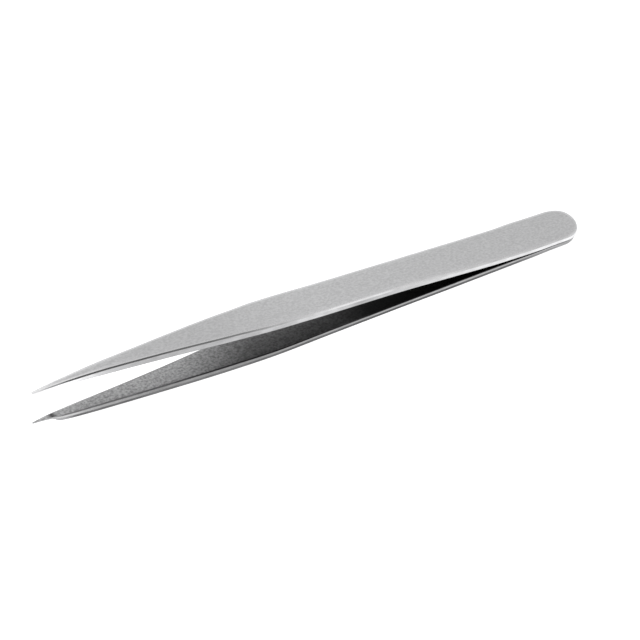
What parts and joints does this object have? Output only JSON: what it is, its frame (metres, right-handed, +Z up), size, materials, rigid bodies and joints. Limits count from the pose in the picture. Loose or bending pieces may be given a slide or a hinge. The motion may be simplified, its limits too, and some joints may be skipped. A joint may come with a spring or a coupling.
{
  "type": "precision tweezers",
  "caption": "Fine-point precision tweezers: bowed spring-steel arms with ground tips, spot-welded together at a rounded flat heel.",
  "frame": {"origin": "centre of the bounding box on the surface that the tweezers lie on", "axes": "+X lengthwise towards the closed heel, -X towards the tips, +Z up, +Y across the arms; the tweezers lie on the lower arm"},
  "size_m": [0.12, 0.0096, 0.0091],
  "materials": {
    "upper_steel": "satin outer face, bead-blasted inner face, polished rim",
    "lower_steel": "satin outer face, bead-blasted inner face, polished rim",
    "weld_steel": "dull fused steel"
  },
  "bodies": {
    "heel": {"upper_heel": "upper_steel", "lower_heel": "lower_steel", "rear_weld": "weld_steel", "front_weld": "weld_steel"},
    "upper_arm": {"upper_arm": "upper_steel"},
    "lower_arm": {"lower_arm": "lower_steel"}
  },
  "joints": [
    {"name": "upper_arm_flex", "type": "hinge", "parent": "heel", "child": "upper_arm", "pos_m": [0.03705, 0, 0.00254], "axis": [0, -1, 0], "range_deg": [0, 1.83], "stiffness_Nm_per_rad": 2.4},
    {"name": "lower_arm_flex", "type": "hinge", "parent": "heel", "child": "lower_arm", "pos_m": [0.037, 0, 0.00092], "axis": [0, 1, 0], "range_deg": [0, 1.83], "stiffness_Nm_per_rad": 2.4}
  ],
  "couplings": [
    {"joint": "lower_arm_flex", "follows": "upper_arm_flex", "ratio": 1}
  ]
}
